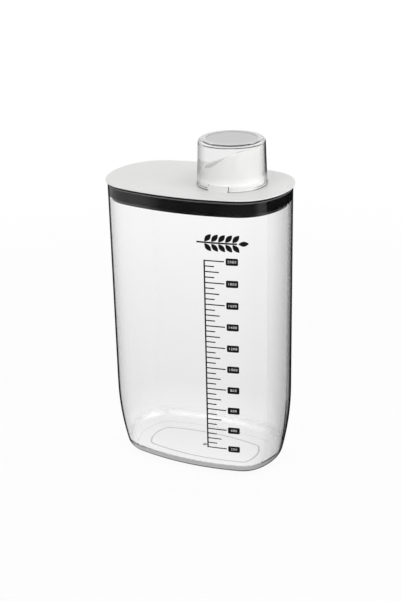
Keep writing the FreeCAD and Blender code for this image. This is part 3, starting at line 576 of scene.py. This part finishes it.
# Silicone rubber, compression moulded: deep black, matt, with a dusty bloom
BLACK_SEAL = GrainedSurface("silicone_moulded_black", pale="101010", deep="070707", smoothest=0.5,
                            roughest=0.7, tone_mm=14.0, grain_mm=0.8, grain_height_mm=0.03,
                            ior=1.41, shine=0.08)
# Screen-printing ink, air dried: flat black, a little uneven where the mesh laid it. The mesh's
# 0.1 mm threads are drawn at 0.4 mm so that they show
BLACK_INK = GrainedSurface("screen_ink_black", pale="0C0C0C", deep="050505", smoothest=0.45,
                           roughest=0.65, tone_mm=5.0, grain_mm=0.4, grain_height_mm=0.01,
                           shine=0.1)
# The same ink in white for the numbers
WHITE_INK = GrainedSurface("screen_ink_white", pale="F6F6F4", deep="E8E8E6", smoothest=0.4,
                           roughest=0.6, tone_mm=2.0, grain_mm=0.4, grain_height_mm=0.01)
WHITE_PAPER = StudioPaper("studio_paper_white")
# Matt black board, felted
BLACK_BOARD = GrainedSurface("studio_board_black", pale="0A0A0A", deep="050505", smoothest=0.8,
                             roughest=0.95, grain_mm=2.0, shine=0.0)


def make_piece(name: str, form: bmesh.types.BMesh, finish: Finish,
               body: Body) -> bpy.types.Object:
    """Make a named piece of a finished form, which is used up.

    Args:
        name: the piece's name.
        form: its form, in metres.
        finish: its finish.
        body: body that it rides on.

    Returns:
        The piece.
    """
    mesh = bpy.data.meshes.new(name)
    form.to_mesh(mesh)
    form.free()
    piece = bpy.data.objects.new(name, mesh)
    bpy.context.scene.collection.objects.link(piece)
    mesh.materials.append(finish.material())
    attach(piece, body.value)
    LOG.info("%s: %d faces of %s", name, len(mesh.polygons), finish.name)
    return piece


@dataclass
class Moulding:
    """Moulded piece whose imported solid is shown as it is."""

    node: str
    finish: Finish

    def dress(self) -> None:
        """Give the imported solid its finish."""
        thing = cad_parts[self.node]
        for slot in thing.material_slots:
            slot.material = self.finish.material()
        LOG.info("%s: %s", self.node, self.finish.name)


@dataclass
class JarFace:
    """Outer face of the jar's wall: arcs of the lid's outline pulled in by an inset, in mm."""

    side_radius: float = 205.0
    side_centre: float = 155.6
    end_radius: float = 56.0
    end_centre: float = 20.8
    corner_radius: float = 34.4
    corner_x: float = 39.789
    corner_y: float = 10.295
    overhang: float = 1.5
    wall: float = 2.3
    rim_level: float = 234.8
    draft_deg: float = 0.25
    belly_level: float = 62.0
    belly_radius: float = 230.0

    def inset(self, level: float) -> float:
        """Find how far the wall stands inside the lid's edge.

        Args:
            level: height above the base.

        Returns:
            The inset at that height.
        """
        lean = math.radians(self.draft_deg)
        if level >= self.belly_level:
            return self.overhang + (self.rim_level - level) * math.tan(lean)
        straight = self.overhang + (self.rim_level - self.belly_level) * math.tan(lean)
        drop = self.belly_level + self.belly_radius * math.sin(lean) - level
        bend = math.sqrt(self.belly_radius ** 2 - drop ** 2)
        return straight + self.belly_radius * math.cos(lean) - bend

    def point(self, girth: float, level: float, lift: float) -> Vector:
        """Find a point on the face, or just off it.

        Args:
            girth: way round the face from the middle of the front, towards +X.
            level: height above the base.
            lift: distance off the face.

        Returns:
            The point, in metres.
        """
        inset = self.inset(level)
        side = self.side_radius - inset
        corner = self.corner_radius - inset
        join = math.atan2(self.corner_x, self.side_centre + self.corner_y)
        turn = girth / side
        if turn <= join:
            reach = side + lift
            spot = Vector((reach * math.sin(turn),
                           self.side_centre - reach * math.cos(turn), level))
        else:
            turn = join + (girth - side * join) / corner
            reach = corner + lift
            spot = Vector((self.corner_x + reach * math.sin(turn),
                           -self.corner_y - reach * math.cos(turn), level))
        return spot * MM

    def arc_over(self, spot: Vector) -> tuple[Vector, float]:
        """Find the arc of the lid's outline that a place in the plan belongs to.

        Args:
            spot: the place.

        Returns:
            The arc's centre and its radius.
        """
        x, y = abs(spot.x), abs(spot.y)
        signs = Vector((math.copysign(1, spot.x), math.copysign(1, spot.y)))
        end_turn = math.atan2(self.corner_y, self.corner_x - self.end_centre)
        side_turn = math.atan2(self.corner_x, self.corner_y + self.side_centre)
        if x > self.end_centre and math.atan2(y, x - self.end_centre) < end_turn:
            return Vector((self.end_centre, 0.0)) * signs, self.end_radius
        if math.atan2(x, y + self.side_centre) < side_turn:
            return Vector((0.0, -self.side_centre)) * signs, self.side_radius
        return Vector((self.corner_x, self.corner_y)) * signs, self.corner_radius


@dataclass
class PressedSeal:
    """Seal ring as it sits in the jar: its lips are pressed flat, so the wall shows it black."""

    node: str = "lid_gasket"
    face: JarFace = field(default_factory=JarFace)
    # Insets between which the ring's outer face and lips lie
    shallowest: float = 4.1
    deepest: float = 4.6
    # Levels from which they are pressed at all, and in full, and how far into the wall
    lowest: float = 222.9
    full_level: float = 226.0
    bite: float = 0.12
    merge: float = 0.001
    crease_deg: float = 30.0

    def build(self) -> None:
        """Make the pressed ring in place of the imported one."""
        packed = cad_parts[self.node]
        ring = bmesh.new()
        ring.from_mesh(packed.data)
        ring.transform(Matrix.Scale(1 / MM, 4) @ packed.matrix_world)
        bmesh.ops.remove_doubles(ring, verts=ring.verts[:], dist=self.merge)
        for vert in ring.verts:
            centre, radius = self.face.arc_over(vert.co.xy)
            arm = vert.co.xy - centre
            inset = radius - arm.length
            pressed = self.lowest < vert.co.z <= self.face.rim_level
            if pressed and self.shallowest < inset < self.deepest:
                wall = self.face.inset(vert.co.z) + self.face.wall - self.bite
                # The ring's lower edge, which the plug's groove doesn't back, presses less
                share = min(1.0, (vert.co.z - self.lowest) / (self.full_level - self.lowest))
                vert.co.xy = centre + arm.normalized() * (radius - inset - share * (wall - inset))
        bmesh.ops.scale(ring, vec=(MM, MM, MM), verts=ring.verts[:])
        bmesh.ops.recalc_face_normals(ring, faces=ring.faces[:])
        piece = make_piece("pressed_seal", ring, BLACK_SEAL, Body.LID)
        piece.data.shade_smooth()
        piece.data.set_sharp_from_angle(angle=math.radians(self.crease_deg))
        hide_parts(self.node)


@dataclass
class InkFilm:
    """Artwork drawn flat, x round the jar and y up it in mm, then laid on the jar's face."""

    name: str
    finish: Finish
    slot: Slot
    face: JarFace = field(default_factory=JarFace)
    gap: float = 0.02
    thick: float = 0.05
    # Size of the cells that let it bend, and the share of the gap at which points merge
    step: float = 1.5
    merge_share: float = 0.1
    # How much of the wall's lean the artwork follows towards the front's middle
    lean_share: float = 0.0
    letter_space: float = 1.25
    letter_steps: int = 3
    corner_steps: int = 4
    seed_corners: int = 24
    seed_pinch: float = 0.55
    sheet: bmesh.types.BMesh = field(default_factory=bmesh.new)

    def bar(self, left: float, low: float, width: float, height: float,
            corner: float = 0.0) -> None:
        """Draw a bar.

        Args:
            left: place of its left end.
            low: place of its lower edge.
            width: its size along x.
            height: its size along y.
            corner: radius of its corners.
        """
        place = Matrix.Translation((left + width / 2, low + height / 2, 0.0))
        drawn = bmesh.ops.create_grid(self.sheet, x_segments=1, y_segments=1, size=0.5,
                                      matrix=place @ Matrix.Diagonal((width, height, 1.0, 1.0)))
        if corner:
            bmesh.ops.bevel(self.sheet, geom=drawn["verts"], offset=corner, affect="VERTICES",
                            segments=self.corner_steps, profile=0.5, material=-1)

    def seed(self, middle: Pair, length: float, width: float, lean: float) -> None:
        """Draw a pointed oval.

        Args:
            middle: its middle.
            length: its size from point to point.
            width: its size across.
            lean: turn of its long axis from x, in radians.
        """
        drawn = bmesh.ops.create_circle(self.sheet, cap_ends=True, segments=self.seed_corners,
                                        radius=1.0)["verts"]
        for vert in drawn:
            # Narrowing towards both ends turns the circle into a seed
            vert.co.y *= 1 - self.seed_pinch * vert.co.x ** 2
        place = Matrix.Translation((*middle, 0.0)) @ Matrix.Rotation(lean, 4, "Z")
        bmesh.ops.transform(self.sheet, verts=drawn,
                            matrix=place @ Matrix.Diagonal((length / 2, width / 2, 1.0, 1.0)))

    def number(self, text: str, middle: Pair, height: float) -> None:
        """Draw a number.

        Args:
            text: its digits.
            middle: its middle.
            height: size of the letters.
        """
        curve = bpy.data.curves.new(self.name, "FONT")
        curve.body, curve.size, curve.resolution_u = text, height, self.letter_steps
        curve.align_x = curve.align_y = "CENTER"
        curve.space_character = self.letter_space
        thing = bpy.data.objects.new(self.name, curve)
        bpy.context.scene.collection.objects.link(thing)
        view = bpy.context.evaluated_depsgraph_get()
        mesh = bpy.data.meshes.new_from_object(thing.evaluated_get(view))
        mesh.transform(Matrix.Translation((*middle, 0.0)))
        self.sheet.from_mesh(mesh)
        bpy.data.objects.remove(thing)
        bpy.data.curves.remove(curve)
        bpy.data.meshes.remove(mesh)

    def lay(self) -> None:
        """Thicken the artwork, lay it on the jar's face and make it a piece of the jar."""
        sheet = self.sheet
        merge = self.merge_share * self.gap
        bmesh.ops.remove_doubles(sheet, verts=sheet.verts[:], dist=merge)
        for axis in (Vector((1.0, 0.0, 0.0)), Vector((0.0, 1.0, 0.0))):
            places = [vert.co.dot(axis) for vert in sheet.verts]
            cut = math.ceil(min(places) / self.step) * self.step
            while cut < max(places):
                bmesh.ops.bisect_plane(sheet, geom=[*sheet.verts, *sheet.edges, *sheet.faces],
                                       dist=merge, plane_co=axis * cut, plane_no=axis)
                cut += self.step
        raised = bmesh.ops.extrude_face_region(sheet, geom=sheet.faces[:])["geom"]
        bmesh.ops.translate(sheet, vec=(0.0, 0.0, self.thick),
                            verts=[part for part in raised if isinstance(part, bmesh.types.BMVert)])
        for vert in sheet.verts:
            drawn_in = self.lean_share * (self.face.inset(vert.co.y) - self.face.overhang)
            vert.co = self.face.point(vert.co.x - drawn_in, vert.co.y, vert.co.z + self.gap)
        bmesh.ops.recalc_face_normals(sheet, faces=sheet.faces[:])
        make_piece(self.name, sheet, self.finish, Body.JAR)


@dataclass
class VolumeScale:
    """Printed volume scale: upright line, ticks every 50 ml and a numbered chip every 200 ml."""

    line_girth: float = 24.4
    lean_share: float = 0.45
    line_width: float = 1.2
    tick_width: float = 0.95
    zero_level: float = 8.0
    rise_per_ml: float = 0.09005
    lowest_ml: int = 200
    highest_ml: int = 2000
    tick_ml: int = 50
    chip_ml: int = 200
    chip_gap: float = 1.2
    chip_width: float = 9.6
    chip_height: float = 5.8
    chip_corner: float = 1.0
    number_height: float = 2.9
    number_gap: float = 0.005
    number_step: float = 1.0

    def level(self, volume: int) -> float:
        """Height of a volume's mark above the base."""
        return self.zero_level + volume * self.rise_per_ml

    def build(self) -> None:
        """Draw the scale and lay it on the jar."""
        marks = InkFilm("scale_marks", BLACK_INK, Slot.BLACK, lean_share=self.lean_share)
        chips = InkFilm("scale_chips", BLACK_INK, Slot.BLACK, lean_share=self.lean_share)
        numbers = InkFilm("scale_numbers", WHITE_INK, Slot.WHITE,
                          gap=chips.gap + chips.thick + self.number_gap, step=self.number_step,
                          lean_share=self.lean_share)
        low = self.level(self.lowest_ml) - self.tick_width / 2
        high = self.level(self.highest_ml) + self.tick_width / 2
        marks.bar(self.line_girth, low, self.line_width, high - low)
        tick_left = self.line_girth + self.line_width
        pattern = (Tick.LONG, Tick.SHORT, Tick.MIDDLE, Tick.SHORT)
        for place, volume in enumerate(range(self.lowest_ml, self.highest_ml + 1, self.tick_ml)):
            tick = pattern[place % len(pattern)]
            marks.bar(tick_left, self.level(volume) - self.tick_width / 2,
                      tick.value - self.line_width, self.tick_width)
        chip_left = self.line_girth + Tick.LONG.value + self.chip_gap
        for volume in range(self.lowest_ml, self.highest_ml + 1, self.chip_ml):
            chips.bar(chip_left, self.level(volume) - self.chip_height / 2, self.chip_width,
                      self.chip_height, self.chip_corner)
            numbers.number(str(volume), (chip_left + self.chip_width / 2, self.level(volume)),
                           self.number_height)
        for film in (marks, chips, numbers):
            film.lay()


@dataclass
class GrainEar:
    """Plain ear of grain above the scale, which says that the jar is for dry food."""

    left: float = 19.0
    level: float = 202.7
    stalk_length: float = 32.0
    stalk_width: float = 1.3
    first: float = 9.0
    pairs: int = 5
    pitch: float = 5.5
    seed_length: float = 7.8
    seed_width: float = 4.1
    seed_lean: float = 0.85
    seed_rise: float = 3.8
    tip_gap: float = 1.0

    def build(self) -> None:
        """Draw the ear and lay it on the jar."""
        film = InkFilm("grain_ear", BLACK_INK, Slot.BLACK)
        film.bar(self.left, self.level - self.stalk_width / 2, self.stalk_length, self.stalk_width)
        for place in range(self.pairs):
            middle = self.left + self.first + place * self.pitch
            for side in (-1, 1):
                film.seed((middle, self.level + side * self.seed_rise), self.seed_length,
                          self.seed_width, side * self.seed_lean)
        tip = self.left + self.stalk_length + self.tip_gap + self.seed_length / 2
        film.seed((tip, self.level), self.seed_length, self.seed_width, 0.0)
        film.lay()


@dataclass(frozen=True)
class Lamp:
    """Square softbox: its name, the place of its middle and its side in metres, and its watts."""

    name: str
    place: Triple
    side: float
    power: float


@dataclass
class Studio:
    """White studio: paper floor, black board, soft lamps, white surroundings and the camera."""

    floor_radius: float = 6.0
    floor_corners: int = 96
    floor_gap_mm: float = 0.3
    # Middle, side in metres and depth of the black board, which the jar's right end mirrors
    board_mm: Pair = (500.0, 480.0)
    board_side: float = 0.9
    board_gap_mm: float = 0.2
    ambient: float = 0.45
    lamps: tuple[Lamp, ...] = (Lamp("softbox_front", (-0.5, -1.7, 1.1), 1.1, 11.5),
                               Lamp("softbox_right", (1.9, -0.1, 0.9), 0.9, 14.5),
                               Lamp("softbox_top", (0.0, 0.3, 1.9), 1.4, 6.0))
    aim: Triple = (0.0, 0.0, 0.15)
    eye_mm: Triple = (413.579, -851.804, 505.015)
    azimuth_deg: float = 25.98
    elevation_deg: float = 21.36
    roll_deg: float = -1.28
    lens: float = 74.42
    sensor: float = 36.0

    def build(self) -> None:
        """Set up the studio round the object."""
        self.lay_floor()
        self.lay_board()
        self.surround()
        for lamp in self.lamps:
            self.hang(lamp)
        self.set_camera()

    def lay_floor(self) -> None:
        """Lay the paper floor a hair under the jar's base."""
        sheet = bmesh.new()
        bmesh.ops.create_circle(sheet, cap_ends=True, segments=self.floor_corners,
                                radius=self.floor_radius,
                                matrix=Matrix.Translation((0.0, 0.0, -self.floor_gap_mm * MM)))
        self.lay("paper_floor", sheet, WHITE_PAPER)

    def lay_board(self) -> None:
        """Lay the black board, which only mirrors show."""
        sheet = bmesh.new()
        place = Matrix.Translation(Vector((*self.board_mm, -self.board_gap_mm)) * MM)
        bmesh.ops.create_grid(sheet, x_segments=1, y_segments=1, size=self.board_side / 2,
                              matrix=place)
        board = self.lay("black_board", sheet, BLACK_BOARD)
        board.visible_camera = board.visible_diffuse = False
        board.visible_transmission = board.visible_shadow = False

    def lay(self, name: str, sheet: bmesh.types.BMesh, finish: Finish) -> bpy.types.Object:
        """Lay a sheet of the studio, whose form is used up.

        Args:
            name: its name.
            sheet: its form, in metres.
            finish: its finish.

        Returns:
            The sheet.
        """
        mesh = bpy.data.meshes.new(name)
        sheet.to_mesh(mesh)
        sheet.free()
        mesh.materials.append(finish.material())
        thing = bpy.data.objects.new(name, mesh)
        bpy.context.scene.collection.objects.link(thing)
        return thing

    def surround(self) -> None:
        """Make the surroundings white to the eye and an even soft light to the object."""
        world = bpy.data.worlds.new("white_room")
        world.use_nodes = True
        tree = world.node_tree
        tree.nodes.clear()
        soft, white = (add_node(tree, "ShaderNodeBackground", {
            "Color": linear(WHITE), "Strength": strength}).outputs["Background"]
            for strength in (self.ambient, 1.0))
        room = mix_shaders(tree, seen_rays(tree), soft, white)
        add_node(tree, "ShaderNodeOutputWorld", {"Surface": room})
        bpy.context.scene.world = world

    def hang(self, lamp: Lamp) -> None:
        """Hang a softbox that looks at the object.

        Args:
            lamp: the softbox.
        """
        light = bpy.data.lights.new(lamp.name, "AREA")
        light.shape, light.size, light.energy = "SQUARE", lamp.side, lamp.power
        thing = bpy.data.objects.new(lamp.name, light)
        thing.location = lamp.place
        way = Vector(self.aim) - Vector(lamp.place)
        thing.rotation_euler = way.to_track_quat("-Z", "Y").to_euler()
        thing.visible_camera = thing.visible_transmission = False
        bpy.context.scene.collection.objects.link(thing)

    def set_camera(self) -> None:
        """Set the camera at the photograph's angle."""
        lens = bpy.data.cameras.new("camera")
        lens.lens, lens.sensor_width = self.lens, self.sensor
        camera = bpy.data.objects.new("camera", lens)
        turn = (Matrix.Rotation(math.radians(self.azimuth_deg), 4, "Z")
                @ Matrix.Rotation(math.radians(90 - self.elevation_deg), 4, "X")
                @ Matrix.Rotation(math.radians(self.roll_deg), 4, "Z"))
        camera.matrix_world = Matrix.Translation(Vector(self.eye_mm) * MM) @ turn
        bpy.context.scene.collection.objects.link(camera)
        bpy.context.scene.camera = camera
        bpy.context.scene.view_settings.view_transform = "Standard"


def main() -> None:
    """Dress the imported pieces, print the jar and set up the studio."""
    logging.basicConfig(level=logging.INFO, format="%(message)s")
    for moulding in (Moulding("jar", CLEAR_JAR), Moulding("lid", WHITE_LID),
                     Moulding("measuring_cup", CLEAR_CUP)):
        moulding.dress()
    PressedSeal().build()
    VolumeScale().build()
    GrainEar().build()
    Studio().build()


if __name__ == "__main__":
    main()
